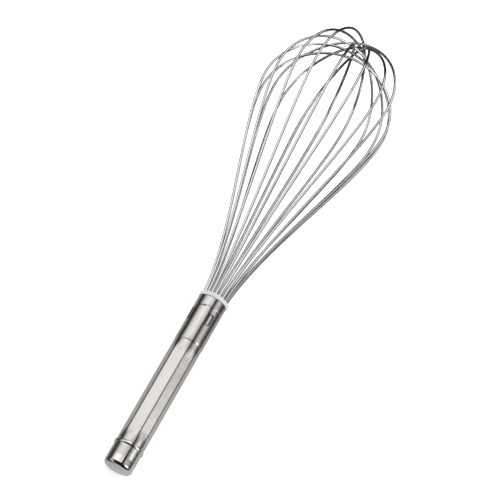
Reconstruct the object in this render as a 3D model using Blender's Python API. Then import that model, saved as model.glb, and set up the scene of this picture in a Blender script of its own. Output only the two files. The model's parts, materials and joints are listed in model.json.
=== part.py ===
# Balloon whisk: nine spring wire loops potted into a staked steel tube handle with a closed end cap.
#
# Every piece is drawn upright about its own axis: z = 0 is the tube's head edge, the balloon is above it
# and the end cap below. One empty then lays the finished whisk down on the table it rests on.

import math

import bmesh
import bpy
import numpy as np
from mathutils import Matrix, Vector

# Handle tube
BAND_R = 0.0110  # outer radius of the round band at the head
BODY_R = 0.01075  # outer radius at the tail, and of the grip's corners
FLAT_R = 0.01015  # distance from the axis to the eight grip flats
FLATS = 8
FLAT_PHASE = math.radians(1.0)  # direction of one grip corner, from the top
TUBE_WALL = 0.0007
TUBE_END = -0.12435
GROOVES = (-0.0081, -0.0376)  # heights of the two rolled grooves
GROOVE_DEPTH = 0.00035
GROOVE_HALF = 0.0007
GRIP_IN = (-0.0406, -0.0498)  # the flats grow out of the round band here
GRIP_OUT = (-0.1210, -0.1113)  # and fade into the round tail here
TUBE_SIDES = 64

# Stakes: long dimples pressed through the tube wall into the core
STAKES = 4
STAKE_PHASE = math.radians(20.7)
STAKE_Z = -0.0165
STAKE_LENGTH = 0.0086
STAKE_WIDTH = 0.0030
STAKE_DEPTH = 0.0005

# Balloon
LOOPS = 9
WIRE_R = 0.0010
LEG_END = -0.0383  # depth of the cut wire ends inside the handle
LEG_R = 0.0079  # radius of the wires' circle deep inside the handle
LEG_BEND = -0.0124  # below this the legs run parallel
EXIT_Z = 0.0036  # the wires leave the collar here
EXIT_R = 0.0091
EXIT_SLOPE = 0.075
LEG_PULL = 0.0590  # straightness of the leg near the collar
BELLY_PULL = 0.0377  # straightness of the leg near the belly
BELLY_Z = 0.1864
BELLY_R = 0.0510
TOP_Z = 0.2445  # wire centre of the outermost loop, on the axis
LOOP_PITCH = 0.00215  # spacing of the crossed loops on the axis
FIRST_HOLE = math.radians(-88.2)  # hole of loop 1's upper leg, from the top
HOLE_PITCH = math.pi / LOOPS
LEAN = -0.0058  # the balloon leans this much to its left for each unit of height
BELLY_SHARE = 0.8  # a taller loop carries its belly higher, by this share of the difference
MIDDLE_POLE = 0.2370
# Each loop as it is bent by hand: place in the stack from the outside, twist of its two legs in
# degrees, drift of its crown in mm
LOOP_SET = ((7, -1.0, -2.0, 3.5), (5, 2.0, -0.5, 4.0), (2, 2.5, -1.0, -0.5), (0, -1.0, 0.0, 1.0),
            (6, -1.5, -0.5, -1.0), (4, -1.0, -3.0, 2.0), (3, 3.5, 3.5, 0.5), (1, 0.5, -0.5, 1.5),
            (8, 1.5, -3.0, 0.5))
LEG_STEPS = 8
DOME_STEPS = 11
BORE_CLEARANCE = 0.0002

# Collar, core and resin
GAP = 0.0002
COLLAR_R = 0.01145
COLLAR_EDGE = 0.0012
SPIGOT_END = -0.0103
CORE_END = -0.0300
RESIN_END = -0.0405

# End cap and its joint
RING_R = 0.01157
RING_HEIGHT = 0.0017
SLEEVE_R = 0.00985
SLEEVE_BORE = 0.0084
SLEEVE_TOP = -0.1188
SLEEVE_END = -0.1320
SEAL_R = 0.0005
SEAL_CENTRE_R = 0.00950
SEAL_HEIGHTS = (-0.1218, -0.1292)
GLAND_HALF = 0.00085
GLAND_R = 0.00895
CAP_R = 0.01087
CAP_BORE = 0.01017
CAP_WALL_END = -0.1404
CAP_EDGE = 0.0030
CAP_DOME = 0.0008
LAND_R = 0.0050  # flat land in the middle of the cap's end


def clear_scene():
    for thing in list(bpy.data.objects):
        bpy.data.objects.remove(thing, do_unlink=True)


def material(name, colour, roughness, metallic):
    made = bpy.data.materials.new(name)
    made.use_nodes = True
    shader = made.node_tree.nodes["Principled BSDF"]
    shader.inputs["Base Color"].default_value = (*colour, 1.0)
    shader.inputs["Roughness"].default_value = roughness
    shader.inputs["Metallic"].default_value = metallic
    return made


def link(name, data, finish):
    piece = bpy.data.objects.new(name, data)
    piece.data.materials.append(finish)
    bpy.context.scene.collection.objects.link(piece)
    return piece


def mesh_piece(name, shape, finish, smooth_angle=35.0):
    bmesh.ops.remove_doubles(shape, verts=shape.verts, dist=1e-6)
    bmesh.ops.recalc_face_normals(shape, faces=shape.faces)
    data = bpy.data.meshes.new(name)
    shape.to_mesh(data)
    shape.free()
    data.shade_smooth()
    data.set_sharp_from_angle(angle=math.radians(smooth_angle))
    return link(name, data, finish)


def arc(centre_r, centre_z, radius, start, end, steps):
    # Points of a rounded edge in a turned profile, angles in degrees
    points = []
    for step in range(steps + 1):
        turn = math.radians(start + (end - start) * step / steps)
        points.append((centre_r + radius * math.cos(turn), centre_z + radius * math.sin(turn)))
    return points


def turned(name, profile, finish, sides=40):
    # A closed profile of (radius, height) points, spun once about the whisk's axis
    shape = bmesh.new()
    verts = [shape.verts.new((radius, 0.0, height)) for radius, height in profile]
    edges = [shape.edges.new((verts[i - 1], verts[i])) for i in range(1, len(verts))]
    if min(profile[0][0], profile[-1][0]) > 1e-6:
        edges.append(shape.edges.new((verts[-1], verts[0])))
    bmesh.ops.spin(shape, geom=verts + edges, cent=(0, 0, 0), axis=(0, 0, 1),
                   angle=math.tau, steps=sides, use_merge=True)
    return mesh_piece(name, shape, finish)


def ease(start, end, value):
    share = min(max((value - start) / (end - start), 0.0), 1.0)
    return share * share * (3.0 - 2.0 * share)


def outward(angle):
    # Angles run from the whisk's top towards its right, seen from the cap end
    return Vector((-math.sin(angle), math.cos(angle), 0.0))


def sideways(angle):
    return Vector((-math.cos(angle), -math.sin(angle), 0.0))


def groove_dip(height):
    dip = 0.0
    for centre in GROOVES:
        reach = abs(height - centre) / GROOVE_HALF
        if reach < 1.0:
            dip = GROOVE_DEPTH * 0.5 * (1.0 + math.cos(math.pi * reach))
    return dip


def tube_radius(height, angle):
    # Round at both ends, eight flats with narrow round corners between
    flat_angle = math.tau / FLATS
    off_flat = (angle - FLAT_PHASE) % flat_angle - flat_angle / 2
    grip_r = min(FLAT_R / math.cos(off_flat), BODY_R)
    grip = ease(*GRIP_OUT, height) * ease(*GRIP_IN, height)
    base = BAND_R + (BODY_R - BAND_R) * ease(GROOVES[1] + GROOVE_HALF, GROOVES[1] - GROOVE_HALF, height)
    return base + (grip_r - BODY_R) * grip - groove_dip(height)


def tube_heights():
    heights = [0.0]
    for centre in GROOVES:
        heights += [centre + GROOVE_HALF, centre, centre - GROOVE_HALF]
    for start, end in (GRIP_IN, GRIP_OUT[::-1]):
        heights += [start + (end - start) * step / 3 for step in range(4)]
    return heights + [TUBE_END]


def stake_block(shape, angle, grow, inner, outer, taper):
    # A long round-ended block pointing outward from the axis
    half_length = STAKE_LENGTH / 2 + grow
    half_width = STAKE_WIDTH / 2 + grow
    straight = half_length - half_width
    rings = []
    for reach, size in ((inner, taper), (outer, 1.0)):
        ring = []
        for end in (1, -1):
            for step in range(7):
                turn = math.pi * step / 6
                across = end * math.cos(turn) * half_width * size
                along = STAKE_Z + end * (straight + math.sin(turn) * half_width * size)
                spot = outward(angle) * reach + sideways(angle) * across
                ring.append(shape.verts.new((spot.x, spot.y, along)))
        rings.append(ring)
    count = len(rings[0])
    for i in range(count):
        follow = (i + 1) % count
        shape.faces.new((rings[0][i], rings[0][follow], rings[1][follow], rings[1][i]))
    shape.faces.new(rings[0][::-1])
    shape.faces.new(rings[1])


def stakes(name, grow, inner, outer, taper):
    shape = bmesh.new()
    for count in range(STAKES):
        stake_block(shape, STAKE_PHASE + math.tau * count / STAKES, grow, inner, outer, taper)
    return tool(mesh_piece(name, shape, STEEL))


def tool(piece):
    # Cutters and fillers stay in the file as hidden wireframes
    piece.hide_render = True
    piece.display_type = "WIRE"
    return piece


def boolean(piece, cutter, operation="DIFFERENCE"):
    step = piece.modifiers.new(cutter.name, "BOOLEAN")
    step.operation = operation
    step.solver = "EXACT"
    step.object = cutter


def handle_tube():
    shape = bmesh.new()
    skins = []
    for wall in (0.0, TUBE_WALL):
        rows = []
        for height in tube_heights():
            row = []
            for side in range(TUBE_SIDES):
                angle = FLAT_PHASE + math.tau * (side + 0.5) / TUBE_SIDES
                spot = outward(angle) * (tube_radius(height, angle) - wall)
                row.append(shape.verts.new((spot.x, spot.y, height)))
            rows.append(row)
        skins.append(rows)
    outer, inner = skins
    # One closed strip of rows: down the outside, across the end, up the inside and back over the edge
    strip = outer + inner[::-1] + [outer[0]]
    for upper, lower in zip(strip, strip[1:]):
        for side in range(TUBE_SIDES):
            follow = (side + 1) % TUBE_SIDES
            shape.faces.new((upper[side], upper[follow], lower[follow], lower[side]))
    tube = mesh_piece("handle_tube", shape, STEEL, 25.0)
    wall_inside = BAND_R - TUBE_WALL
    boolean(tube, stakes("stake_backs", 0.0, wall_inside - STAKE_DEPTH, BAND_R - 0.0003, 0.8), "UNION")
    boolean(tube, stakes("stake_fronts", -0.0005, BAND_R - STAKE_DEPTH, BAND_R + 0.001, 0.8))
    return tube


def leg_points(belly):
    # (radius, height) from the cut end inside the handle up to the belly
    points = [(LEG_R, LEG_END), (LEG_R, LEG_BEND)]
    start = Vector((EXIT_R, EXIT_Z))
    first = start + Vector((EXIT_SLOPE, 1.0)) * LEG_PULL
    end = Vector((BELLY_R, belly))
    second = end - Vector((0.0, BELLY_PULL))
    for step in range(LEG_STEPS + 1):
        t = step / LEG_STEPS
        s = 1.0 - t
        spot = start * s ** 3 + first * 3 * s * s * t + second * 3 * s * t * t + end * t ** 3
        points.append((spot.x, spot.y))
    return points


def loop_route(number):
    # One wire: up a leg, over the dome, and down the opposite leg
    place, first_twist, second_twist, drift = LOOP_SET[number]
    hole = FIRST_HOLE + number * HOLE_PITCH
    pole = TOP_Z - place * LOOP_PITCH
    belly = BELLY_Z + (pole - MIDDLE_POLE) * BELLY_SHARE
    crown = math.radians((first_twist + second_twist) / 2)
    half = [(radius, height, 0.0) for radius, height in leg_points(belly)]
    for step in range(1, DOME_STEPS + 1):
        turn = math.pi / 2 * step / DOME_STEPS
        half.append((BELLY_R * math.cos(turn), belly + (pole - belly) * math.sin(turn), math.sin(turn) ** 2))
    route = []
    for side, twist, points in ((1.0, first_twist, half), (-1.0, second_twist, half[-2::-1])):
        for radius, height, rise in points:
            bend = math.radians(twist) * ease(EXIT_Z, belly, height)
            angle = hole + bend + (crown - bend) * rise
            spot = outward(angle) * radius * side + sideways(angle) * drift * 0.001 * rise
            route.append(spot + Vector((0.0, 0.0, height)) + sideways(0.0) * LEAN * max(height, 0.0))
    return route


def tube_curve(name, route, radius):
    data = bpy.data.curves.new(name, "CURVE")
    data.dimensions = "3D"
    data.bevel_depth = radius
    data.bevel_resolution = 2
    data.use_fill_caps = True
    line = data.splines.new("POLY")
    line.points.add(len(route) - 1)
    for point, spot in zip(line.points, route):
        point.co = (*spot, 1.0)
    return data


def wire_loop(number):
    data = tube_curve(f"wire_loop_{number + 1}", loop_route(number), WIRE_R)
    return link(f"wire_loop_{number + 1}", data, WIRE)


def leg_bores():
    # Eighteen clearance holes, as one hidden cutter for the collar, the core and the resin
    shape = bmesh.new()
    for number in range(LOOPS):
        hole = FIRST_HOLE + number * HOLE_PITCH
        for angle in (hole, hole + math.pi):
            over = 0.001
            stops = ((LEG_R, LEG_END - GAP), (LEG_R, LEG_BEND), (EXIT_R, EXIT_Z),
                     (EXIT_R + EXIT_SLOPE * over, EXIT_Z + over))
            route = [outward(angle) * radius + Vector((0.0, 0.0, height)) for radius, height in stops]
            curve = link("bore", tube_curve("bore", route, WIRE_R + BORE_CLEARANCE), WIRE)
            bpy.context.view_layer.update()
            pipe = bpy.data.meshes.new_from_object(curve.evaluated_get(bpy.context.evaluated_depsgraph_get()))
            shape.from_mesh(pipe)
            bpy.data.objects.remove(curve, do_unlink=True)
    return tool(mesh_piece("leg_bores", shape, WIRE))


def wire_collar(bores):
    spigot_r = BAND_R - TUBE_WALL - GAP
    notch = GROOVE_DEPTH + 0.0001
    low, high = GROOVES[0] - GROOVE_HALF, GROOVES[0] + GROOVE_HALF
    profile = [(0.0, EXIT_Z)]
    profile += arc(COLLAR_R - COLLAR_EDGE, EXIT_Z - COLLAR_EDGE, COLLAR_EDGE, 90, 0, 4)
    profile += [(COLLAR_R, GAP), (spigot_r, GAP), (spigot_r, high + GAP), (spigot_r - notch, GROOVES[0])]
    profile += [(spigot_r, low - GAP), (spigot_r, SPIGOT_END), (0.0, SPIGOT_END)]
    collar = turned("wire_collar", profile, WHITE, 48)
    boolean(collar, bores)
    return collar


def wire_core(bores):
    outer = BAND_R - TUBE_WALL - GAP
    top = SPIGOT_END - GAP
    core = turned("wire_core", [(0.0, top), (outer, top), (outer, CORE_END), (0.0, CORE_END)], CORE)
    boolean(core, bores)
    floor = BAND_R - TUBE_WALL - STAKE_DEPTH - GAP
    boolean(core, stakes("stake_sockets", 0.0003, floor, BAND_R, 1.0))
    return core


def resin_fill(bores):
    top = CORE_END - GAP
    outer = BAND_R - TUBE_WALL - GAP
    neck = BODY_R - TUBE_WALL - GROOVE_DEPTH - GAP
    step_z = GROOVES[1] + GROOVE_HALF + GAP
    profile = [(0.0, top), (outer, top), (outer, step_z), (neck, step_z), (neck, RESIN_END), (0.0, RESIN_END)]
    resin = turned("resin_fill", profile, RESIN)
    boolean(resin, bores)
    return resin


def joint_sleeve():
    profile = [(SLEEVE_R, SLEEVE_TOP)]
    for centre in SEAL_HEIGHTS:
        profile += [(SLEEVE_R, centre + GLAND_HALF), (GLAND_R, centre + GLAND_HALF)]
        profile += [(GLAND_R, centre - GLAND_HALF), (SLEEVE_R, centre - GLAND_HALF)]
    profile += [(SLEEVE_R, SLEEVE_END), (SLEEVE_BORE, SLEEVE_END), (SLEEVE_BORE, SLEEVE_TOP)]
    return turned("joint_sleeve", profile, STEEL)


def seal(name, height):
    round_section = arc(SEAL_CENTRE_R, height, SEAL_R, 0, -315, 7)
    return turned(name, round_section, RUBBER, 32)


def joint_ring():
    top = TUBE_END - GAP
    half = RING_HEIGHT / 2
    profile = [(SLEEVE_R + GAP, top)]
    profile += arc(RING_R - half, top - half, half, 90, -90, 6)
    profile += [(SLEEVE_R + GAP, top - RING_HEIGHT)]
    return turned("joint_ring", profile, POLISHED, 48)


def end_cap():
    rim = TUBE_END - 2 * GAP - RING_HEIGHT
    end = CAP_WALL_END - CAP_EDGE
    wall = CAP_R - CAP_BORE
    profile = [(CAP_R, rim)]
    profile += arc(CAP_R - CAP_EDGE, CAP_WALL_END, CAP_EDGE, 0, -90, 6)
    profile += [(LAND_R, end - CAP_DOME), (0.0, end - CAP_DOME), (0.0, end - CAP_DOME + wall)]
    profile += [(LAND_R, end - CAP_DOME + wall)]
    profile += arc(CAP_R - CAP_EDGE, CAP_WALL_END, CAP_EDGE - wall, -90, 0, 4)
    profile += [(CAP_BORE, rim)]
    return turned("end_cap", profile, POLISHED, 48)


def local_points(pieces):
    spots = []
    graph = bpy.context.evaluated_depsgraph_get()
    for piece in pieces:
        shape = piece.evaluated_get(graph).to_mesh()
        spots += [tuple(vert.co) for vert in shape.vertices]
    return np.array(spots)


def resting_tilt(balloon, tail):
    # The slope at which the balloon and the cap's edge reach the table together
    low, high = 0.0, math.radians(20.0)
    for _ in range(40):
        tilt = (low + high) / 2
        drop = np.array((0.0, math.cos(tilt), math.sin(tilt)))
        if (balloon @ drop).min() < (tail @ drop).min():
            low = tilt
        else:
            high = tilt
    return tilt


def lay_down(pieces):
    # Upright axes to the lying whisk: +Y becomes its top and its head (+Z) points along +X
    loops = [piece for piece in pieces if piece.name.startswith("wire_loop")]
    cap = [piece for piece in pieces if piece.name == "end_cap"]
    bpy.context.view_layer.update()
    tilt = resting_tilt(local_points(loops), local_points(cap))
    lying = Matrix(((0, 0, 1), (1, 0, 0), (0, 1, 0))).to_4x4()
    turn = Matrix.Rotation(-tilt, 4, "Y") @ lying
    spots = local_points(pieces) @ np.array(turn.to_3x3()).T
    low, high = spots.min(axis=0), spots.max(axis=0)
    shift = Vector((-(low[0] + high[0]) / 2, -(low[1] + high[1]) / 2, -low[2]))
    rest = bpy.data.objects.new("whisk", None)
    bpy.context.scene.collection.objects.link(rest)
    rest.matrix_world = Matrix.Translation(shift) @ turn
    for piece in bpy.context.scene.objects:
        if piece is not rest:
            piece.parent = rest


clear_scene()
STEEL = material("brushed_steel", (0.60, 0.58, 0.56), 0.30, 1.0)
POLISHED = material("polished_steel", (0.66, 0.65, 0.64), 0.12, 1.0)
WIRE = material("wire_steel", (0.62, 0.62, 0.63), 0.15, 1.0)
WHITE = material("white_nylon", (0.86, 0.87, 0.88), 0.40, 0.0)
CORE = material("core_nylon", (0.75, 0.74, 0.70), 0.50, 0.0)
RESIN = material("potting_resin", (0.55, 0.47, 0.33), 0.30, 0.0)
RUBBER = material("seal_rubber", (0.03, 0.03, 0.03), 0.70, 0.0)

bores = leg_bores()
made = [handle_tube(), wire_collar(bores), wire_core(bores), resin_fill(bores), joint_sleeve(), joint_ring()]
made += [seal("tube_seal", SEAL_HEIGHTS[0]), seal("cap_seal", SEAL_HEIGHTS[1]), end_cap()]
made += [wire_loop(number) for number in range(LOOPS)]
lay_down(made)
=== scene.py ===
import json
import math

import bmesh
import bpy
from mathutils import Matrix, Vector


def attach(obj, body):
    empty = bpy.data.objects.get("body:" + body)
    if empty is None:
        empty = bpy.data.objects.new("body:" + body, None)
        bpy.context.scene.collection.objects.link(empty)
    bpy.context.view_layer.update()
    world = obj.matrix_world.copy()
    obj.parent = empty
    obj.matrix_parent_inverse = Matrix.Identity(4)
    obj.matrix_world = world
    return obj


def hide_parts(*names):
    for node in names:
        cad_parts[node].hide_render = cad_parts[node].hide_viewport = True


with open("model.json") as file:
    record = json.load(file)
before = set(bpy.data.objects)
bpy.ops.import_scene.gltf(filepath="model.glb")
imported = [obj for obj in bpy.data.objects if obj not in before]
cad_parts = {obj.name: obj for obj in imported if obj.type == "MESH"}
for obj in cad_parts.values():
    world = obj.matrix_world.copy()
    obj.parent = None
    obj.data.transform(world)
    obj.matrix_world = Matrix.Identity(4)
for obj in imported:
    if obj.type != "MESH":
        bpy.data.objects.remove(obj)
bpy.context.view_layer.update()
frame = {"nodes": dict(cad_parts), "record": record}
print("frame loaded:", len(frame["nodes"]), "nodes")

mm = 0.001
scene = bpy.context.scene

# The whisk lies a little nose up. Its own axes come from the flat land on the end cap:
# heights run along the handle, 0 at the tube's head edge and negative towards the cap.
capLength = 144.2 * mm
land = next(mount for mount in frame["record"]["mounts"] if mount["name"] == "cap_land")
axis = -Vector(land["axis"]).normalized()
rightHand = Vector((0.0, -1.0, 0.0))
topSide = rightHand.cross(axis).normalized()
headEdge = Vector(land["pos_m"]) + axis * capLength
noseUp = math.atan2(axis.z, axis.x)


def outward(angle):
    # 0 is the top, positive towards the right hand, seen from the cap
    return topSide * math.cos(angle) + rightHand * math.sin(angle)


def sideways(angle):
    return rightHand * math.cos(angle) - topSide * math.sin(angle)


def place(radius, angle, height):
    return headEdge + axis * height + outward(angle) * radius


def ease(start, end, value):
    share = min(max((value - start) / (end - start), 0.0), 1.0)
    return share * share * (3.0 - 2.0 * share)


# ---- node helpers

def addNode(tree, kind, x=0, y=0, **values):
    node = tree.nodes.new(kind)
    node.location = (x, y)
    for name, value in values.items():
        setattr(node, name, value)
    return node


def join(tree, source, target):
    tree.links.new(source, target)


surfaceOutputs = [
    ("Color", "NodeSocketColor"), ("Roughness", "NodeSocketFloat"), ("Height", "NodeSocketFloat"),
]


def newGroup(name, inputs, outputs):
    group = bpy.data.node_groups.new(name, "ShaderNodeTree")
    for label, kind, value in inputs:
        socket = group.interface.new_socket(label, in_out="INPUT", socket_type=kind)
        if value is not None:
            socket.default_value = value
    for label, kind in outputs:
        group.interface.new_socket(label, in_out="OUTPUT", socket_type=kind)
    return group, addNode(group, "NodeGroupInput", -900), addNode(group, "NodeGroupOutput", 900)


scratchDepth = 0.01 * mm


def makeGrainGroup():
    # Fine scratches that run round the whisk, with slow changes of shade and gloss
    group, given, made = newGroup(
        "scratchGrain",
        [
            ("Vector", "NodeSocketVector", None),
            ("Lines per Metre", "NodeSocketFloat", 9000.0),
            ("Line Length", "NodeSocketFloat", 0.02),
            ("Light Colour", "NodeSocketColor", (0.66, 0.64, 0.62, 1)),
            ("Dark Colour", "NodeSocketColor", (0.52, 0.50, 0.48, 1)),
            ("Low Roughness", "NodeSocketFloat", 0.18),
            ("High Roughness", "NodeSocketFloat", 0.32),
            ("Smudge", "NodeSocketFloat", 0.05),
        ],
        surfaceOutputs,
    )
    split = addNode(group, "ShaderNodeSeparateXYZ", -700)
    join(group, given.outputs["Vector"], split.inputs[0])
    across = addNode(group, "ShaderNodeMath", -520, 120, operation="MULTIPLY")
    join(group, split.outputs["X"], across.inputs[0])
    join(group, given.outputs["Lines per Metre"], across.inputs[1])
    stretched = addNode(group, "ShaderNodeCombineXYZ", -340)
    join(group, across.outputs[0], stretched.inputs["X"])
    for letter, y in (("Y", 0), ("Z", -140)):
        along = addNode(group, "ShaderNodeMath", -520, y, operation="DIVIDE")
        join(group, split.outputs[letter], along.inputs[0])
        join(group, given.outputs["Line Length"], along.inputs[1])
        join(group, along.outputs[0], stretched.inputs[letter])
    lines = addNode(group, "ShaderNodeTexNoise", -160, 120)
    lines.inputs["Scale"].default_value = 1.0
    lines.inputs["Detail"].default_value = 4.0
    lines.inputs["Roughness"].default_value = 0.65
    join(group, stretched.outputs[0], lines.inputs["Vector"])
    cloud = addNode(group, "ShaderNodeTexNoise", -160, -220)
    cloud.inputs["Scale"].default_value = 70.0
    cloud.inputs["Detail"].default_value = 3.0
    join(group, given.outputs["Vector"], cloud.inputs["Vector"])
    shade = addNode(group, "ShaderNodeMix", 200, 200, data_type="RGBA")
    join(group, lines.outputs["Fac"], shade.inputs["Factor"])
    join(group, given.outputs["Dark Colour"], shade.inputs[6])
    join(group, given.outputs["Light Colour"], shade.inputs[7])
    gloss = addNode(group, "ShaderNodeMapRange", 200, -60)
    gloss.inputs["From Min"].default_value = 0.3
    gloss.inputs["From Max"].default_value = 0.7
    join(group, lines.outputs["Fac"], gloss.inputs["Value"])
    join(group, given.outputs["Low Roughness"], gloss.inputs["To Min"])
    join(group, given.outputs["High Roughness"], gloss.inputs["To Max"])
    smudge = addNode(group, "ShaderNodeMath", 400, -200, operation="MULTIPLY_ADD")
    join(group, cloud.outputs["Fac"], smudge.inputs[0])
    join(group, given.outputs["Smudge"], smudge.inputs[1])
    join(group, gloss.outputs["Result"], smudge.inputs[2])
    join(group, shade.outputs[2], made.inputs["Color"])
    join(group, smudge.outputs[0], made.inputs["Roughness"])
    join(group, lines.outputs["Fac"], made.inputs["Height"])
    return group


grainGroup = makeGrainGroup()


def whiskCoordinates(tree):
    # Object coordinates turned so that X runs along the handle from its head edge
    where = addNode(tree, "ShaderNodeTexCoord", -1100)
    mapping = addNode(tree, "ShaderNodeMapping", -920, vector_type="TEXTURE")
    mapping.inputs["Location"].default_value = headEdge
    mapping.inputs["Rotation"].default_value = (0.0, -noseUp, 0.0)
    join(tree, where.outputs["Object"], mapping.inputs["Vector"])
    return mapping.outputs["Vector"]


def newMaterial(name):
    material = bpy.data.materials.new(name)
    material.use_nodes = True
    return material, material.node_tree, material.node_tree.nodes["Principled BSDF"]


def steel(name, look):
    material, tree, shader = newMaterial(name)
    grain = addNode(tree, "ShaderNodeGroup", -600, node_tree=grainGroup)
    join(tree, whiskCoordinates(tree), grain.inputs["Vector"])
    grain.inputs["Lines per Metre"].default_value = look["linesPerMetre"]
    grain.inputs["Line Length"].default_value = look["lineLength"]
    grain.inputs["Light Colour"].default_value = (*look["light"], 1)
    grain.inputs["Dark Colour"].default_value = (*look["dark"], 1)
    grain.inputs["Low Roughness"].default_value = look["rough"][0]
    grain.inputs["High Roughness"].default_value = look["rough"][1]
    grain.inputs["Smudge"].default_value = look["smudge"]
    bump = addNode(tree, "ShaderNodeBump", -300, -260)
    bump.inputs["Strength"].default_value = look["bump"]
    bump.inputs["Distance"].default_value = scratchDepth
    join(tree, grain.outputs["Height"], bump.inputs["Height"])
    shade = grain.outputs["Color"]
    if look.get("paintedStakeShade"):
        # painted shade: the steep walls of the pressed stakes get a near-black base colour that stands in for
        # the shade and dark reflections in them
        pressed = addNode(tree, "ShaderNodeAttribute", -600, 300, attribute_name="pressed")
        darker = addNode(tree, "ShaderNodeMix", -300, 200, data_type="RGBA")
        join(tree, pressed.outputs["Fac"], darker.inputs["Factor"])
        join(tree, shade, darker.inputs[6])
        darker.inputs[7].default_value = (*look["paintedStakeShade"], 1)
        shade = darker.outputs[2]
    join(tree, shade, shader.inputs["Base Color"])
    join(tree, grain.outputs["Roughness"], shader.inputs["Roughness"])
    join(tree, bump.outputs["Normal"], shader.inputs["Normal"])
    shader.inputs["Metallic"].default_value = 1.0
    if look.get("stretch"):
        shader.inputs["Anisotropic"].default_value = look["stretch"]
        # the scratches run round the piece, so they draw its gloss out along the whisk
        tangent = addNode(tree, "ShaderNodeTangent", -300, -460, direction_type="UV_MAP", uv_map="lengthwise")
        join(tree, tangent.outputs["Tangent"], shader.inputs["Tangent"])
    return material


steelLooks = {
    "brushedHandle": {
        "linesPerMetre": 5200.0, "lineLength": 0.03, "light": (0.70, 0.675, 0.65), "dark": (0.56, 0.54, 0.52),
        "rough": (0.16, 0.26), "smudge": 0.06, "bump": 0.25, "stretch": 0.75,
        # painted shade on the stake walls: a near-black base colour in place of their shade and dark
        # reflections
        "paintedStakeShade": (0.06, 0.06, 0.06),
    },
    "brushedCap": {
        "linesPerMetre": 5200.0, "lineLength": 0.03, "light": (0.70, 0.68, 0.65), "dark": (0.56, 0.54, 0.52),
        "rough": (0.16, 0.26), "smudge": 0.06, "bump": 0.25, "stretch": 0.75,
    },
    "polishedCap": {
        "linesPerMetre": 900.0, "lineLength": 0.02, "light": (0.72, 0.71, 0.69), "dark": (0.66, 0.65, 0.63),
        "rough": (0.04, 0.08), "smudge": 0.05, "bump": 0.04,
    },
    "polishedRing": {
        "linesPerMetre": 1200.0, "lineLength": 0.02, "light": (0.74, 0.73, 0.71), "dark": (0.66, 0.65, 0.63),
        "rough": (0.07, 0.12), "smudge": 0.05, "bump": 0.06,
    },
    "springWire": {
        "linesPerMetre": 60.0, "lineLength": 0.0006, "light": (0.84, 0.84, 0.86), "dark": (0.72, 0.72, 0.74),
        "rough": (0.04, 0.08), "smudge": 0.05, "bump": 0.08,
    },
    "sleeveSteel": {
        "linesPerMetre": 3000.0, "lineLength": 0.03, "light": (0.60, 0.59, 0.57), "dark": (0.46, 0.45, 0.44),
        "rough": (0.28, 0.40), "smudge": 0.08, "bump": 0.3,
    },
}
steels = {name: steel(name, look) for name, look in steelLooks.items()}
print("steel finishes made:", ", ".join(steels))


skinDepth = 0.05 * mm
milkyDepth = 2.0 * mm


def makeMouldGroup():
    # Moulded plastic: faint cloudiness, fine orange-peel skin
    group, given, made = newGroup(
        "mouldedSkin",
        [
            ("Vector", "NodeSocketVector", None),
            ("Skin Scale", "NodeSocketFloat", 900.0),
            ("Light Colour", "NodeSocketColor", (0.9, 0.9, 0.9, 1)),
            ("Dark Colour", "NodeSocketColor", (0.8, 0.8, 0.8, 1)),
            ("Low Roughness", "NodeSocketFloat", 0.3),
            ("High Roughness", "NodeSocketFloat", 0.45),
        ],
        surfaceOutputs,
    )
    skin = addNode(group, "ShaderNodeTexNoise", -400, 0)
    skin.inputs["Detail"].default_value = 2.0
    join(group, given.outputs["Vector"], skin.inputs["Vector"])
    join(group, given.outputs["Skin Scale"], skin.inputs["Scale"])
    cloud = addNode(group, "ShaderNodeTexNoise", -400, 300)
    cloud.inputs["Scale"].default_value = 120.0
    cloud.inputs["Detail"].default_value = 3.0
    join(group, given.outputs["Vector"], cloud.inputs["Vector"])
    shade = addNode(group, "ShaderNodeMix", 100, 200, data_type="RGBA")
    join(group, cloud.outputs["Fac"], shade.inputs["Factor"])
    join(group, given.outputs["Dark Colour"], shade.inputs[6])
    join(group, given.outputs["Light Colour"], shade.inputs[7])
    gloss = addNode(group, "ShaderNodeMapRange", 100, -60)
    join(group, cloud.outputs["Fac"], gloss.inputs["Value"])
    join(group, given.outputs["Low Roughness"], gloss.inputs["To Min"])
    join(group, given.outputs["High Roughness"], gloss.inputs["To Max"])
    join(group, shade.outputs[2], made.inputs["Color"])
    join(group, gloss.outputs["Result"], made.inputs["Roughness"])
    join(group, skin.outputs["Fac"], made.inputs["Height"])
    return group


mouldGroup = makeMouldGroup()


def moulded(name, look):
    material, tree, shader = newMaterial(name)
    skin = addNode(tree, "ShaderNodeGroup", -600, node_tree=mouldGroup)
    join(tree, whiskCoordinates(tree), skin.inputs["Vector"])
    skin.inputs["Skin Scale"].default_value = look["skinScale"]
    skin.inputs["Light Colour"].default_value = (*look["light"], 1)
    skin.inputs["Dark Colour"].default_value = (*look["dark"], 1)
    skin.inputs["Low Roughness"].default_value = look["rough"][0]
    skin.inputs["High Roughness"].default_value = look["rough"][1]
    bump = addNode(tree, "ShaderNodeBump", -300, -260)
    bump.inputs["Strength"].default_value = look["bump"]
    bump.inputs["Distance"].default_value = skinDepth
    join(tree, skin.outputs["Height"], bump.inputs["Height"])
    join(tree, skin.outputs["Color"], shader.inputs["Base Color"])
    join(tree, skin.outputs["Roughness"], shader.inputs["Roughness"])
    join(tree, bump.outputs["Normal"], shader.inputs["Normal"])
    if look.get("milky"):
        shader.inputs["Subsurface Weight"].default_value = look["milky"]
        shader.inputs["Subsurface Scale"].default_value = milkyDepth
        shader.inputs["Subsurface Radius"].default_value = (1.0, 1.0, 1.0)
    return material


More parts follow.
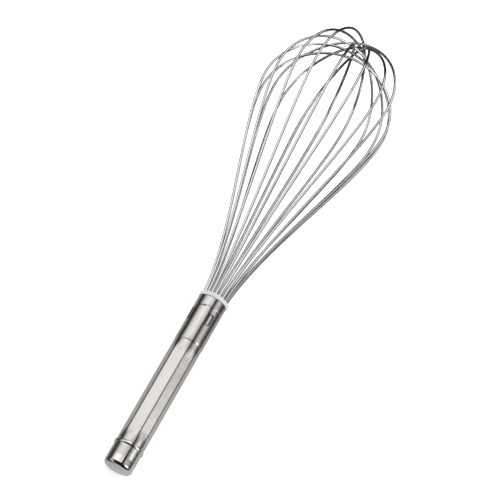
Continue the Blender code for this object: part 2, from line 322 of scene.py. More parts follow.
mouldedLooks = {
    "whiteNylon": {"skinScale": 700.0, "light": (0.70, 0.71, 0.72), "dark": (0.63, 0.64, 0.66),
                   "rough": (0.28, 0.42), "bump": 0.25, "milky": 0.25},
    "coreNylon": {"skinScale": 500.0, "light": (0.80, 0.79, 0.74), "dark": (0.70, 0.69, 0.64),
                  "rough": (0.40, 0.60), "bump": 0.4},
    "pottingResin": {"skinScale": 250.0, "light": (0.60, 0.50, 0.34), "dark": (0.42, 0.34, 0.22),
                     "rough": (0.15, 0.30), "bump": 0.3},
    "sealRubber": {"skinScale": 1500.0, "light": (0.05, 0.05, 0.05), "dark": (0.02, 0.02, 0.02),
                   "rough": (0.55, 0.75), "bump": 0.4},
}
plastics = {name: moulded(name, look) for name, look in mouldedLooks.items()}
print("moulded finishes made:", ", ".join(plastics))


# ---- turned and formed metal

def addPiece(name, mesh, slot, *replaced):
    piece = bpy.data.objects.new(name, mesh)
    scene.collection.objects.link(piece)
    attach(piece, "root")
    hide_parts(*replaced)
    return piece


def skinMesh(name, rows, sides, radiusAt, materials, finishAt=None, sharp=30.0, shadeAt=None):
    # A closed strip of rings; radiusAt gives the radius of a row at each angle, and a row starts
    # with its height
    shape = bmesh.new()
    uvs = shape.loops.layers.uv.new("lengthwise")
    # shadeAt gives each corner its share of the painted shade on the stake walls, kept in the pressed layer
    shades = shape.verts.layers.float.new("pressed") if shadeAt else None
    angles = [math.tau * side / sides for side in range(sides)]
    rings = []
    for row in rows:
        ring = [shape.verts.new(place(radiusAt(row, angle), angle, row[0])) for angle in angles]
        if shadeAt:
            for vertex, angle in zip(ring, angles):
                vertex[shades] = shadeAt(row, angle)
        rings.append(ring)
    count = len(rings)
    for index, upper in enumerate(rings):
        below = (index + 1) % count
        lower = rings[below]
        for side in range(sides):
            follow = (side + 1) % sides
            face = shape.faces.new((upper[side], lower[side], lower[follow], upper[follow]))
            face.smooth = True
            if finishAt:
                face.material_index = finishAt(rows[index], rows[below])
            corners = ((side, index), (side, index + 1), (side + 1, index + 1), (side + 1, index))
            for loop, (around, along) in zip(face.loops, corners):
                loop[uvs].uv = (along / count, around / sides)
    bmesh.ops.recalc_face_normals(shape, faces=shape.faces)
    mesh = bpy.data.meshes.new(name)
    shape.to_mesh(mesh)
    shape.free()
    mesh.set_sharp_from_angle(angle=math.radians(sharp))
    for material in materials:
        mesh.materials.append(material)
    return mesh


def spread(start, end, step):
    # Evenly spaced heights from start down to end, both included
    count = max(1, round(abs(end - start) / step))
    return [start + (end - start) * index / count for index in range(count + 1)]


tubeSizes = {
    "bandRadius": 11.0 * mm, "bodyRadius": 10.75 * mm, "cornerRadius": 2.85 * mm,
    # the flats of the grip are pressed a little unevenly: degrees of its eight corners
    "corners": (-49.0, 2.3, 44.7, 89.5, 134.5, 179.5, 224.5, 268.0, 311.0),
    "wall": 0.7 * mm, "end": -124.35 * mm, "lip": 0.18 * mm,
    "grooves": (-8.1 * mm, -37.6 * mm), "grooveDepth": 0.20 * mm,
    "grooveHalf": 0.75 * mm, "grooveFloor": 0.35 * mm,
    "gripIn": (-40.6 * mm, -49.8 * mm), "gripOut": (-121.0 * mm, -111.3 * mm),
    "sides": 320,
    # spacing of the rings of the mesh
    "headStep": 2.0 * mm, "plainStep": 1.0 * mm, "grooveStep": 0.1 * mm, "stakeStep": 0.22 * mm,
    "bandStep": 3.0 * mm, "bendStep": 0.6 * mm, "flatStep": 8.0 * mm, "innerStep": 2.0 * mm,
}
stakeSizes = {
    "count": 4, "firstAngle": math.radians(20.7), "height": -16.5 * mm, "length": 9.4 * mm, "width": 3.3 * mm,
    "depth": 0.55 * mm, "floorWidth": 2.1 * mm, "rimHeight": 0.08 * mm, "rimWidth": 0.3 * mm,
    "margin": 0.8 * mm,
}
stakeSlope = (stakeSizes["width"] - stakeSizes["floorWidth"]) / 2


def grooveDip(height):
    # A steep wall on the head side and a gentle one on the cap side
    sizes = tubeSizes
    for centre in sizes["grooves"]:
        floor = centre + sizes["grooveFloor"]
        if height > floor:
            reach = (height - floor) / (sizes["grooveHalf"] - sizes["grooveFloor"])
        else:
            reach = (floor - height) / (sizes["grooveHalf"] + sizes["grooveFloor"])
        if reach < 1.0:
            return sizes["grooveDepth"] * 0.5 * (1.0 + math.cos(math.pi * reach))
    return 0.0


def stakeInside(height, angle):
    # Depth inside the outline of the nearest stake, a long oval pressed into the wall
    pitch = math.tau / stakeSizes["count"]
    offAngle = (angle - stakeSizes["firstAngle"] + pitch / 2) % pitch - pitch / 2
    across = offAngle * tubeSizes["bandRadius"]
    along = height - stakeSizes["height"]
    straight = (stakeSizes["length"] - stakeSizes["width"]) / 2
    beyond = max(abs(along) - straight, 0.0)
    return stakeSizes["width"] / 2 - math.hypot(across, beyond)


def stakeDip(height, angle):
    # The wall swells a little along the outline
    inside = stakeInside(height, angle)
    dip = stakeSizes["depth"] * ease(0.0, stakeSlope, inside)
    rim = inside / stakeSizes["rimWidth"]
    return dip - stakeSizes["rimHeight"] * math.exp(-rim * rim)


def stakeWall(row, angle):
    # 1 on the steep wall of a stake, easing to 0 either side of it; this is the mask for the painted shade on
    # the stake walls
    off = (stakeInside(row[0], angle) - stakeSlope / 2) / stakeSlope
    return math.exp(-4.0 * off ** 4)


def gripRadius(angle):
    # Flat between two corners, and rounded over each corner
    corners = tubeSizes["corners"]
    turn = (math.degrees(angle) - corners[0]) % 360.0 + corners[0]
    first, second = next(pair for pair in zip(corners, corners[1:]) if turn <= pair[1])
    half = math.radians(second - first) / 2
    offFlat = abs(math.radians(turn - first) - half)
    rounding = tubeSizes["cornerRadius"]
    reach = tubeSizes["bodyRadius"] - rounding
    flat = reach * math.cos(half) + rounding
    if flat * math.tan(offFlat) <= reach * math.sin(half):
        return flat / math.cos(offFlat)
    offCorner = half - offFlat
    return reach * math.cos(offCorner) + math.sqrt(rounding * rounding - (reach * math.sin(offCorner)) ** 2)


def tubeRadius(row, angle):
    height, inset = row
    grip = ease(*tubeSizes["gripOut"], height) * ease(*tubeSizes["gripIn"], height)
    groove = tubeSizes["grooves"][1]
    half = tubeSizes["grooveHalf"]
    narrowing = tubeSizes["bandRadius"] - tubeSizes["bodyRadius"]
    base = tubeSizes["bandRadius"] - narrowing * ease(groove + half, groove - half, height)
    dips = grooveDip(height) + stakeDip(height, angle)
    return base + (gripRadius(angle) - tubeSizes["bodyRadius"]) * grip - dips - inset


def makeTube():
    sizes = tubeSizes
    half = sizes["grooveHalf"]
    first, second = sizes["grooves"]
    stakeTop = stakeSizes["height"] + stakeSizes["length"] / 2 + stakeSizes["margin"]
    stakeEnd = stakeSizes["height"] - stakeSizes["length"] / 2 - stakeSizes["margin"]
    # each run of rings ends at a height; the first starts at the lip
    runs = (
        (first + half, sizes["headStep"]), (first - half, sizes["grooveStep"]),
        (stakeTop, sizes["plainStep"]), (stakeEnd, sizes["stakeStep"]), (second + half, sizes["bandStep"]),
        (second - half, sizes["grooveStep"]), (sizes["gripIn"][0], sizes["plainStep"]),
        (sizes["gripIn"][1], sizes["bendStep"]), (sizes["gripOut"][1], sizes["flatStep"]),
        (sizes["gripOut"][0], sizes["bendStep"]), (sizes["end"] + sizes["lip"], sizes["plainStep"]),
    )
    heights = [-sizes["lip"]]
    for end, step in runs:
        heights += spread(heights[-1], end, step)[1:]
    rows = [(0.0, sizes["lip"])] + [(height, 0.0) for height in heights] + [(sizes["end"], sizes["lip"])]
    inner = [0.0, first + half, first, first - half, stakeTop, stakeEnd]
    inner += [second + half, second, second - half]
    inner += spread(*sizes["gripIn"], sizes["innerStep"])
    inner += spread(*sizes["gripOut"][::-1], sizes["innerStep"]) + [sizes["end"]]
    rows += [(height, sizes["wall"]) for height in inner[::-1]]
    return skinMesh("tubeSkin", rows, sizes["sides"], tubeRadius, [steels["brushedHandle"]],
                    shadeAt=stakeWall)


tube = addPiece("handleTube", makeTube(), "brushed_steel", "handle_tube")
print("handle tube formed:", len(tube.data.polygons), "faces")


# Rows of a turned piece are (height, radius)

def turnedRadius(row, angle):
    return row[1]


def arcRows(centreRadius, centreHeight, radius, start, end, steps):
    # An arc of the profile; 0 degrees faces outward and 90 the head
    rows = []
    for step in range(steps + 1):
        turn = math.radians(start + (end - start) * step / steps)
        rows.append((centreHeight + radius * math.sin(turn), centreRadius + radius * math.cos(turn)))
    return rows


ringSizes = {
    "radius": 11.57 * mm, "height": 2.7 * mm, "middle": -125.4 * mm, "bore": 10.05 * mm,
    "neck": 1.65 * mm, "skirt": 10.92 * mm, "lift": 0.01 * mm, "fullness": 0.8, "steps": 24, "sides": 200,
}


def makeRing():
    # A low bead that laps over the ends of the tube and the cap, with a narrower neck between them
    sizes = ringSizes
    neckTop = sizes["middle"] + sizes["neck"] / 2
    neckEnd = sizes["middle"] - sizes["neck"] / 2
    rise = sizes["radius"] - sizes["skirt"]
    rows = [(neckTop, sizes["bore"]), (neckTop, sizes["skirt"])]
    for step in range(sizes["steps"] + 1):
        turn = math.pi * (0.5 - step / sizes["steps"])
        rows.append((sizes["middle"] + sizes["height"] / 2 * math.sin(turn),
                     sizes["skirt"] + rise * math.cos(turn) ** sizes["fullness"] + sizes["lift"]))
    rows += [(neckEnd, sizes["skirt"]), (neckEnd, sizes["bore"])]
    return skinMesh("ringSkin", rows, sizes["sides"], turnedRadius, [steels["polishedRing"]], sharp=60.0)


addPiece("jointRing", makeRing(), "polished_steel", "joint_ring")

capSizes = {
    "radius": 10.87 * mm, "wall": 0.7 * mm, "rim": -126.45 * mm, "lip": 0.15 * mm, "wallEnd": -140.4 * mm,
    "edge": 3.0 * mm, "dome": 0.8 * mm, "land": 5.0 * mm, "polishFrom": -135.5 * mm, "sides": 240,
    "centre": (3.0 * mm, 1.0 * mm, 0.05 * mm), "step": 1.0 * mm, "shoulderTurn": -84.0, "domeSteps": 8,
}


def makeCap():
    sizes = capSizes
    end = sizes["wallEnd"] - sizes["edge"]
    landEnd = end - sizes["dome"]
    shoulder = sizes["radius"] - sizes["edge"]
    bodyTop = sizes["rim"] - sizes["lip"]
    rows = [(sizes["rim"], sizes["radius"] - sizes["lip"]), (bodyTop, sizes["radius"])]
    rows += [(height, sizes["radius"]) for height in spread(bodyTop, sizes["polishFrom"], sizes["step"])[1:]]
    rows += arcRows(shoulder, sizes["wallEnd"], sizes["edge"], 0, sizes["shoulderTurn"], 24)
    # from the shoulder a shallow dome, flat in the middle
    for step in range(1, sizes["domeSteps"] + 1):
        reach = shoulder + (sizes["land"] - shoulder) * step / sizes["domeSteps"]
        fall = (1 - (reach / shoulder) ** 2) / (1 - (sizes["land"] / shoulder) ** 2)
        rows.append((end - sizes["dome"] * fall, reach))
    rows += [(landEnd, reach) for reach in sizes["centre"]]
    middle = sizes["centre"][-1]
    rows += [(landEnd + sizes["wall"], reach) for reach in (middle, sizes["centre"][1], sizes["land"])]
    rows += arcRows(shoulder, sizes["wallEnd"], sizes["edge"] - sizes["wall"], -90, 0, 12)
    rows += [(sizes["rim"], sizes["radius"] - sizes["wall"])]

    def finishAt(first, second):
        # the rings beyond this height are polished, the others brushed
        return 1 if min(first[0], second[0]) < sizes["polishFrom"] - sizes["lip"] / 3 else 0

    return skinMesh("capSkin", rows, sizes["sides"], turnedRadius,
                    [steels["brushedCap"], steels["polishedCap"]], finishAt)


addPiece("endCap", makeCap(), "polished_steel", "end_cap")
print("ring and cap turned")

# ---- collar

loopSizes = {
    "count": 9, "wireRadius": 1.0 * mm, "legEnd": -38.3 * mm, "legRadius": 7.9 * mm, "legBend": -12.4 * mm,
    "exitHeight": 3.6 * mm, "exitRadius": 9.1 * mm, "exitSlope": 0.075, "legPull": 59.0 * mm,
    "bellyPull": 37.7 * mm, "bellyHeight": 186.4 * mm, "bellyRadius": 51.0 * mm, "topHeight": 244.5 * mm,
    "pitch": 2.15 * mm, "firstHole": math.radians(-88.2),
    # the balloon leans a little to its left, and a taller loop carries its belly higher
    "lean": -0.0058, "bellyShare": 0.8, "middlePole": 237.0 * mm,
    # reach of the handles of the path where it is nearly straight, and for a quarter of an ellipse
    "endPull": 1.0 * mm, "legsPull": 4.0 * mm, "exitPull": 5.0 * mm, "quarterArc": 0.5523,
    "sides": 20, "step": 1.5 * mm,
}
# How each loop is bent: place in the stack from the outside, twist of its two legs in degrees,
# drift of its crown in mm
loopBends = (
    (7, -1.0, -2.0, 3.5), (5, 2.0, -0.5, 4.0), (2, 2.5, -1.0, -0.5),
    (0, -1.0, 0.0, 1.0), (6, -1.5, -0.5, -1.0), (4, -1.0, -3.0, 2.0),
    (3, 3.5, 3.5, 0.5), (1, 0.5, -0.5, 1.5), (8, 1.5, -3.0, 0.5),
)
collarSizes = {
    "radius": 11.45 * mm, "edge": 1.2 * mm, "seat": 0.2 * mm, "top": 3.6 * mm, "spigot": 10.1 * mm,
    "spigotEnd": -10.3 * mm, "seatEdge": 0.3 * mm, "snapDepth": 0.45 * mm, "middle": 0.05 * mm,
    "flatInset": 1.0 * mm, "boreDepth": 15.0 * mm, "boreOver": 1.0 * mm, "boreClearance": 0.12 * mm,
    "boreSides": 24, "sides": 144,
}


def holeAngle(number):
    return loopSizes["firstHole"] + number * math.pi / loopSizes["count"]


def onBore(angle, beyond):
    # A point on a bore's centre line, beyond the face the wire leaves through
    radius = loopSizes["exitRadius"] + loopSizes["exitSlope"] * beyond
    return place(radius, angle, loopSizes["exitHeight"] + beyond)


def makeCollar():
    sizes = collarSizes
    groove = tubeSizes["grooves"][0]
    half = tubeSizes["grooveHalf"]
    shoulder = sizes["radius"] - sizes["edge"]
    seatEdge = sizes["seatEdge"]
    rows = [(sizes["top"], sizes["middle"]), (sizes["top"], shoulder - sizes["flatInset"])]
    rows += arcRows(shoulder, sizes["top"] - sizes["edge"], sizes["edge"], 90, 0, 12)
    rows += arcRows(sizes["radius"] - seatEdge, sizes["seat"] + seatEdge, seatEdge, 0, -90, 4)
    rows += [(sizes["seat"], sizes["spigot"]), (groove + half, sizes["spigot"]),
             (groove, sizes["spigot"] - sizes["snapDepth"]), (groove - half, sizes["spigot"]),
             (sizes["spigotEnd"], sizes["spigot"]), (sizes["spigotEnd"], sizes["middle"])]
    mesh = skinMesh("collarSkin", rows, sizes["sides"], turnedRadius, [plastics["whiteNylon"]])
    blank = bpy.data.objects.new("collarBlank", mesh)
    scene.collection.objects.link(blank)
    cutters = bmesh.new()
    radius = loopSizes["wireRadius"] + sizes["boreClearance"]
    for number in range(loopSizes["count"] * 2):
        low = onBore(holeAngle(number), -sizes["boreDepth"])
        high = onBore(holeAngle(number), sizes["boreOver"])
        along = high - low
        turn = Matrix.Translation((low + high) / 2) @ along.to_track_quat("Z", "Y").to_matrix().to_4x4()
        bmesh.ops.create_cone(cutters, cap_ends=True, segments=sizes["boreSides"], radius1=radius,
                              radius2=radius, depth=along.length, matrix=turn)
    cutterMesh = bpy.data.meshes.new("collarBores")
    cutters.to_mesh(cutterMesh)
    cutters.free()
    cutter = bpy.data.objects.new("collarBores", cutterMesh)
    scene.collection.objects.link(cutter)
    cut = blank.modifiers.new("bores", "BOOLEAN")
    cut.operation = "DIFFERENCE"
    cut.solver = "EXACT"
    cut.object = cutter
    done = bpy.data.meshes.new_from_object(blank.evaluated_get(bpy.context.evaluated_depsgraph_get()))
    bpy.data.objects.remove(blank)
    bpy.data.objects.remove(cutter)
    done.set_sharp_from_angle(angle=math.radians(30))
    return done


addPiece("wireCollar", makeCollar(), "white_nylon", "wire_collar")
print("collar moulded")


# ---- balloon: one Bezier path for each loop, swept by a Geometry Nodes tree

def makeSweepTree():
    tree = bpy.data.node_groups.new("sweepWire", "GeometryNodeTree")
    tree.interface.new_socket("Geometry", in_out="INPUT", socket_type="NodeSocketGeometry")
    for label, kind, value in (("Wire Radius", "NodeSocketFloat", loopSizes["wireRadius"]),
                               ("Sides", "NodeSocketInt", loopSizes["sides"]),
                               ("Step", "NodeSocketFloat", loopSizes["step"])):
        socket = tree.interface.new_socket(label, in_out="INPUT", socket_type=kind)
        socket.default_value = value
    tree.interface.new_socket("Material", in_out="INPUT", socket_type="NodeSocketMaterial")
    tree.interface.new_socket("Geometry", in_out="OUTPUT", socket_type="NodeSocketGeometry")
    given = addNode(tree, "NodeGroupInput", -800)
    made = addNode(tree, "NodeGroupOutput", 800)
    resample = addNode(tree, "GeometryNodeResampleCurve", -500, 0)
    resample.mode = "LENGTH"
    join(tree, given.outputs["Geometry"], resample.inputs["Curve"])
    join(tree, given.outputs["Step"], resample.inputs["Length"])
    circle = addNode(tree, "GeometryNodeCurvePrimitiveCircle", -500, -260)
    join(tree, given.outputs["Sides"], circle.inputs["Resolution"])
    join(tree, given.outputs["Wire Radius"], circle.inputs["Radius"])
    sweep = addNode(tree, "GeometryNodeCurveToMesh", -200, 0)
    join(tree, resample.outputs["Curve"], sweep.inputs["Curve"])
    join(tree, circle.outputs["Curve"], sweep.inputs["Profile Curve"])
    sweep.inputs["Fill Caps"].default_value = True
    smooth = addNode(tree, "GeometryNodeSetShadeSmooth", 50, 0)
    join(tree, sweep.outputs["Mesh"], smooth.inputs["Geometry"])
    real = addNode(tree, "GeometryNodeRealizeInstances", 280, 0)
    join(tree, smooth.outputs["Geometry"], real.inputs["Geometry"])
    finish = addNode(tree, "GeometryNodeSetMaterial", 500, 0)
    join(tree, real.outputs["Geometry"], finish.inputs["Geometry"])
    join(tree, given.outputs["Material"], finish.inputs["Material"])
    join(tree, finish.outputs["Geometry"], made.inputs["Geometry"])
    return tree


sweepTree = makeSweepTree()


def setInput(modifier, label, value):
    for item in modifier.node_group.interface.items_tree:
        if item.item_type == "SOCKET" and item.in_out == "INPUT" and item.name == label:
            modifier[item.identifier] = value


def loopKnots(number):
    # (point, handle before, handle after) from one cut end, over the dome, to the other
    sizes = loopSizes
    order, firstTwist, secondTwist, drift = loopBends[number]
    hole = holeAngle(number)
    crown = hole + math.radians((firstTwist + secondTwist) / 2)
    poleHeight = sizes["topHeight"] - order * sizes["pitch"]
    bellyHeight = sizes["bellyHeight"] + (poleHeight - sizes["middlePole"]) * sizes["bellyShare"]
    bellyTop = (poleHeight - bellyHeight) * sizes["quarterArc"]
    poleReach = sizes["bellyRadius"] * sizes["quarterArc"]
    legPull = axis * sizes["legsPull"]
    legs = []
    for side, twist in ((0.0, firstTwist), (math.pi, secondTwist)):
        start = place(sizes["legRadius"], hole + side, sizes["legEnd"])
        bend = place(sizes["legRadius"], hole + side, sizes["legBend"])
        leave = place(sizes["exitRadius"], hole + side, sizes["exitHeight"])
        up = axis + outward(hole + side) * sizes["exitSlope"]
        belly = place(sizes["bellyRadius"], hole + side + math.radians(twist), bellyHeight)
        legs.append([
            (start, start - axis * sizes["endPull"], start + legPull),
            (bend, bend - legPull, bend + legPull),
            (leave, leave - up * sizes["exitPull"], leave + up * sizes["legPull"]),
            (belly, belly - axis * sizes["bellyPull"], belly + axis * bellyTop),
        ])
    pole = place(0.0, hole, poleHeight) + sideways(crown) * drift * mm
    knots = legs[0] + [(pole, pole + outward(crown) * poleReach, pole - outward(crown) * poleReach)]
    knots += [(point, after, before) for point, before, after in legs[1][::-1]]
    return [tuple(leanOver(spot) for spot in knot) for knot in knots]


def leanOver(spot):
    # Beyond the head edge everything shifts to the side in proportion to its height
    height = max((spot - headEdge).dot(axis), 0.0)
    return spot + sideways(0.0) * loopSizes["lean"] * height


def makeLoop(number):
    name = f"wireLoop{number + 1}"
    path = bpy.data.curves.new(name + "Path", "CURVE")
    path.dimensions = "3D"
    path.resolution_u = 48
    spline = path.splines.new("BEZIER")
    knots = loopKnots(number)
    spline.bezier_points.add(len(knots) - 1)
    for point, (spot, before, after) in zip(spline.bezier_points, knots):
        point.handle_left_type = "FREE"
        point.handle_right_type = "FREE"
        point.co, point.handle_left, point.handle_right = spot, before, after
    holder = bpy.data.objects.new(name + "Path", path)
    scene.collection.objects.link(holder)
    sweep = holder.modifiers.new("sweep", "NODES")
    sweep.node_group = sweepTree
    setInput(sweep, "Wire Radius", loopSizes["wireRadius"])
    setInput(sweep, "Sides", loopSizes["sides"])
    setInput(sweep, "Step", loopSizes["step"])
    setInput(sweep, "Material", steels["springWire"])
    bpy.context.view_layer.update()
    mesh = bpy.data.meshes.new_from_object(holder.evaluated_get(bpy.context.evaluated_depsgraph_get()))
    bpy.data.objects.remove(holder)
    return addPiece(name, mesh, "wire_steel", f"wire_loop_{number + 1}")


loops = [makeLoop(number) for number in range(loopSizes["count"])]
print("balloon bent:", len(loops), "loops,", sum(len(loop.data.polygons) for loop in loops), "faces")

# ---- pieces inside the handle keep their own shape and get their finish
innerFinishes = {
    "joint_sleeve": steels["sleeveSteel"], "wire_core": plastics["coreNylon"],
    "resin_fill": plastics["pottingResin"], "tube_seal": plastics["sealRubber"],
    "cap_seal": plastics["sealRubber"],
}
for nodeName, finish in innerFinishes.items():
    node = frame["nodes"][nodeName]
    node.data.materials.clear()
    node.data.materials.append(finish)
print("inner pieces finished")

# ---- studio

viewSizes = {
    "tiltAway": math.radians(22.0), "roll": math.radians(29.93), "turn": math.radians(-2.5),
    "distance": 1.734, "aim": 3.87 * mm, "lens": 172.8, "leftOf": 25.34 * mm, "above": 34.99 * mm,
    "clip": (0.05, 50.0),
}


def makeCamera():
    # Looks down on the whisk from its cap end, with the frame rolled round
    sizes = viewSizes
    near = outward(sizes["turn"])
    across = sideways(sizes["turn"])
    up = axis * math.cos(sizes["tiltAway"]) + near * math.sin(sizes["tiltAway"])
    forward = axis * math.sin(sizes["tiltAway"]) - near * math.cos(sizes["tiltAway"])
    pictureRight = up * math.sin(sizes["roll"]) + across * math.cos(sizes["roll"])
    pictureUp = up * math.cos(sizes["roll"]) - across * math.sin(sizes["roll"])
    camera = bpy.data.objects.new("camera", bpy.data.cameras.new("camera"))
    scene.collection.objects.link(camera)
    camera.data.lens = sizes["lens"]
    camera.data.clip_start, camera.data.clip_end = sizes["clip"]
    where = headEdge + axis * sizes["aim"] - forward * sizes["distance"]
    where += pictureRight * sizes["leftOf"] + pictureUp * sizes["above"]
    turn = Matrix((pictureRight, pictureUp, -forward)).transposed()
    camera.matrix_world = Matrix.Translation(where) @ turn.to_4x4()
    scene.camera = camera


makeCamera()

def addRamp(tree, source, stops, x, y):
    # Brightness by position, given as (position, brightness) pairs
    low, high = stops[0][0], stops[-1][0]
    share = addNode(tree, "ShaderNodeMapRange", x, y)
    share.inputs["From Min"].default_value = low
    share.inputs["From Max"].default_value = high
    join(tree, source, share.inputs["Value"])
    ramp = addNode(tree, "ShaderNodeValToRGB", x + 180, y)
    ramp.color_ramp.interpolation = "EASE"
    elements = ramp.color_ramp.elements
    while len(elements) < len(stops):
        elements.new(0.5)
    for element, (position, value) in zip(elements, stops):
        element.position = (position - low) / (high - low)
    for element, (position, value) in zip(elements, stops):
        element.color = (value, value, value, 1)
    join(tree, share.outputs["Result"], ramp.inputs["Fac"])
    return ramp.outputs["Color"]


floorSizes = {
    "half": 4.0, "drop": 0.2 * mm, "colour": (0.90, 0.90, 0.90), "glow": 0.45, "rough": 0.9,
    # painted reflection: the floor's glow for glossy rays, with darker bands standing in for shade that the
    # metal mirrors
    # what the polished metal sees of the floor, by the handle's head edge and by its cap, from the
    # whisk's right side to its left, in mm under the head edge; the bands spread from where the
    # whisk's line meets the floor
    "seenByHead": ((-200.0, 0.05), (-140.0, 0.30), (-100.0, 0.50), (56.0, 0.50), (80.0, 0.10), (110.0, 0.05)),
    "seenByCap": ((-900.0, 0.20), (-350.0, 0.55), (-120.0, 0.66), (56.0, 0.54), (80.0, 0.12), (110.0, 0.07)),
    # the painted reflection dims from under the handle to under the balloon
    "underHandle": 1.0, "underBalloon": 0.10, "fadeLength": 80.0 * mm,
}


def makePaintedFloorReflection(tree):
    # Painted reflection: for glossy rays the floor is a glow, pale under the whisk and dim to the sides,
    # standing in for the studio's light and shade as the metal mirrors it
    where = addNode(tree, "ShaderNodeTexCoord", -1300, 300)
    split = addNode(tree, "ShaderNodeSeparateXYZ", -1120, 300)
    join(tree, where.outputs["Object"], split.inputs[0])
    meets = headEdge.x - headEdge.z / math.tan(noseUp)
    away = addNode(tree, "ShaderNodeMath", -940, 200, operation="SUBTRACT")
    away.inputs[1].default_value = meets
    join(tree, split.outputs["X"], away.inputs[0])
    spreadOut = addNode(tree, "ShaderNodeMath", -780, 300, operation="DIVIDE")
    join(tree, split.outputs["Y"], spreadOut.inputs[0])
    join(tree, away.outputs[0], spreadOut.inputs[1])
    reach = (headEdge.x - meets) / mm
    bands = []
    for name, y in (("seenByHead", 300), ("seenByCap", 600)):
        stops = [(stop / reach, value) for stop, value in floorSizes[name]]
        bands.append(addRamp(tree, spreadOut.outputs[0], stops, -600, y))
    nearer = ((headEdge.x - capLength, 1.0), (headEdge.x, 0.0))
    nearCap = addRamp(tree, split.outputs["X"], nearer, -600, 900)
    both = addNode(tree, "ShaderNodeMix", -300, 500, data_type="RGBA")
    join(tree, nearCap, both.inputs["Factor"])
    join(tree, bands[0], both.inputs[6])
    join(tree, bands[1], both.inputs[7])
    fade = ((headEdge.x, floorSizes["underHandle"]),
            (headEdge.x + floorSizes["fadeLength"], floorSizes["underBalloon"]))
    under = addRamp(tree, split.outputs["X"], fade, -600, 0)
    shade = addNode(tree, "ShaderNodeMix", -200, 200, data_type="RGBA", blend_type="MULTIPLY")
    shade.inputs["Factor"].default_value = 1.0
    join(tree, both.outputs[2], shade.inputs[6])
    join(tree, under, shade.inputs[7])
    paintedReflection = addNode(tree, "ShaderNodeEmission", -20, 300)
    join(tree, shade.outputs[2], paintedReflection.inputs["Color"])
    return paintedReflection


def makeFloor():
    mesh = bpy.data.meshes.new("floor")
    shape = bmesh.new()
    bmesh.ops.create_grid(shape, x_segments=1, y_segments=1, size=floorSizes["half"],
                          matrix=Matrix.Translation((0, 0, -floorSizes["drop"])))
    shape.to_mesh(mesh)
    shape.free()
    floor = bpy.data.objects.new("floor", mesh)
    scene.collection.objects.link(floor)
    material, tree, shader = newMaterial("paleFloor")
    shader.inputs["Base Color"].default_value = (*floorSizes["colour"], 1)
    shader.inputs["Roughness"].default_value = floorSizes["rough"]
    shader.inputs["Emission Color"].default_value = (1, 1, 1, 1)
    shader.inputs["Emission Strength"].default_value = floorSizes["glow"]
    paintedReflection = makePaintedFloorReflection(tree)
    # painted reflection: glossy rays see the painted glow instead of the lit floor
    paths = addNode(tree, "ShaderNodeLightPath", -20, 600)
    mix = addNode(tree, "ShaderNodeMixShader", 200, 300)
    join(tree, paths.outputs["Is Glossy Ray"], mix.inputs[0])
    join(tree, shader.outputs[0], mix.inputs[1])
    join(tree, paintedReflection.outputs[0], mix.inputs[2])
    join(tree, mix.outputs[0], tree.nodes["Material Output"].inputs["Surface"])
    mesh.materials.append(material)


makeFloor()

# Long softboxes over the whisk: angle around it from the top towards its right in degrees; distance,
# width, and where they start and end along it from the head edge in metres; and how bright they are
# from their left edge to their right
softboxes = {
    "mainBox": {
        "angle": -36.0, "distance": 0.80, "wide": 1.48, "from": -0.05, "to": 0.45, "bright": 1.48,
        "across": ((0.0, 0.32), (0.12, 0.52), (0.29, 0.88), (0.45, 1.0), (0.60, 0.90), (0.76, 0.66),
                   (1.0, 0.66)),
    },
    "mainTailBox": {
        "angle": -82.0, "distance": 0.80, "wide": 0.80, "from": -1.20, "to": -0.12, "bright": 0.50,
        "across": ((0.0, 0.80), (0.70, 1.0), (1.0, 0.70)),
    },
    "mainFarBox": {
        "angle": -19.0, "distance": 0.80, "wide": 0.62, "from": 0.45, "to": 2.20, "bright": 1.75,
        "across": ((0.0, 0.60), (0.30, 1.0), (0.70, 1.0), (1.0, 0.70)),
    },
    "sideBox": {
        "angle": 51.5, "distance": 0.70, "wide": 0.81, "from": -0.30, "to": 0.02, "bright": 3.6,
        "across": ((0.0, 0.03), (0.25, 0.13), (0.34, 0.45), (0.43, 1.0), (0.64, 1.0), (0.76, 0.42),
                   (0.86, 0.08), (1.0, 0.03)),
    },
    "sideDimBox": {
        "angle": 51.5, "distance": 0.70, "wide": 0.81, "from": 0.02, "to": 0.30, "bright": 0.52,
        "across": ((0.0, 0.75), (0.27, 1.0), (0.46, 0.95), (0.64, 0.60), (0.80, 0.28), (1.0, 0.05)),
    },
    "sideFarBox": {
        "angle": 50.0, "distance": 0.70, "wide": 0.52, "from": 0.30, "to": 1.90, "bright": 1.45,
        "across": ((0.0, 0.30), (0.30, 0.80), (0.50, 1.0), (0.75, 0.70), (1.0, 0.20)),
    },
}
softboxColour = (1.0, 0.992, 0.986)


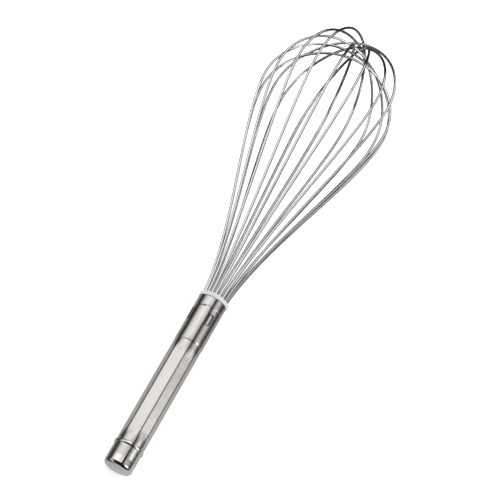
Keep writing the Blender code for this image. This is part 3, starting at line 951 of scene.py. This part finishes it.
def makeSoftbox(name, sizes):
    angle = math.radians(sizes["angle"])
    light = bpy.data.lights.new(name, "AREA")
    light.shape = "RECTANGLE"
    light.size = sizes["wide"]
    light.size_y = sizes["to"] - sizes["from"]
    light.energy = sizes["bright"] * math.pi * light.size * light.size_y
    light.color = softboxColour
    light.use_nodes = True
    tree = light.node_tree
    spot = addNode(tree, "ShaderNodeNewGeometry", -900)
    split = addNode(tree, "ShaderNodeSeparateXYZ", -720)
    join(tree, spot.outputs["Parametric"], split.inputs[0])
    glow = addRamp(tree, split.outputs[0], sizes["across"], -540, 0)
    join(tree, glow, tree.nodes["Emission"].inputs["Color"])
    box = bpy.data.objects.new(name, light)
    scene.collection.objects.link(box)
    middle = headEdge + axis * (sizes["from"] + sizes["to"]) / 2 + outward(angle) * sizes["distance"]
    turn = Matrix((sideways(angle), axis, outward(angle))).transposed()
    box.matrix_world = Matrix.Translation(middle) @ turn.to_4x4()
    box.visible_camera = False


for name, sizes in softboxes.items():
    makeSoftbox(name, sizes)

# What is left of the room: pale for soft light, dark where the metal mirrors it, least so at the sides
room = {"soft": 0.55, "seen": ((0.0, 0.012), (0.75, 0.02), (0.95, 0.09), (1.0, 0.09))}


def makeWorld():
    world = bpy.data.worlds.new("studio")
    world.use_nodes = True
    scene.world = world
    tree = world.node_tree
    background = tree.nodes["Background"]
    where = addNode(tree, "ShaderNodeTexCoord", -900)
    split = addNode(tree, "ShaderNodeSeparateXYZ", -720)
    join(tree, where.outputs["Generated"], split.inputs[0])
    side = addNode(tree, "ShaderNodeMath", -720, -200, operation="ABSOLUTE")
    join(tree, split.outputs["Y"], side.inputs[0])
    seen = addRamp(tree, side.outputs[0], room["seen"], -540, 0)
    paths = addNode(tree, "ShaderNodeLightPath", -100, 400)
    paper = addNode(tree, "ShaderNodeMix", -100, 200, data_type="RGBA")
    paper.inputs[6].default_value = (room["soft"],) * 3 + (1,)
    paper.inputs[7].default_value = (1, 1, 1, 1)
    join(tree, paths.outputs["Is Camera Ray"], paper.inputs["Factor"])
    chosen = addNode(tree, "ShaderNodeMix", 200, 100, data_type="RGBA")
    join(tree, paths.outputs["Is Glossy Ray"], chosen.inputs["Factor"])
    join(tree, paper.outputs[2], chosen.inputs[6])
    join(tree, seen, chosen.inputs[7])
    join(tree, chosen.outputs[2], background.inputs["Color"])


makeWorld()
scene.view_settings.view_transform = "Standard"
print("studio lit")
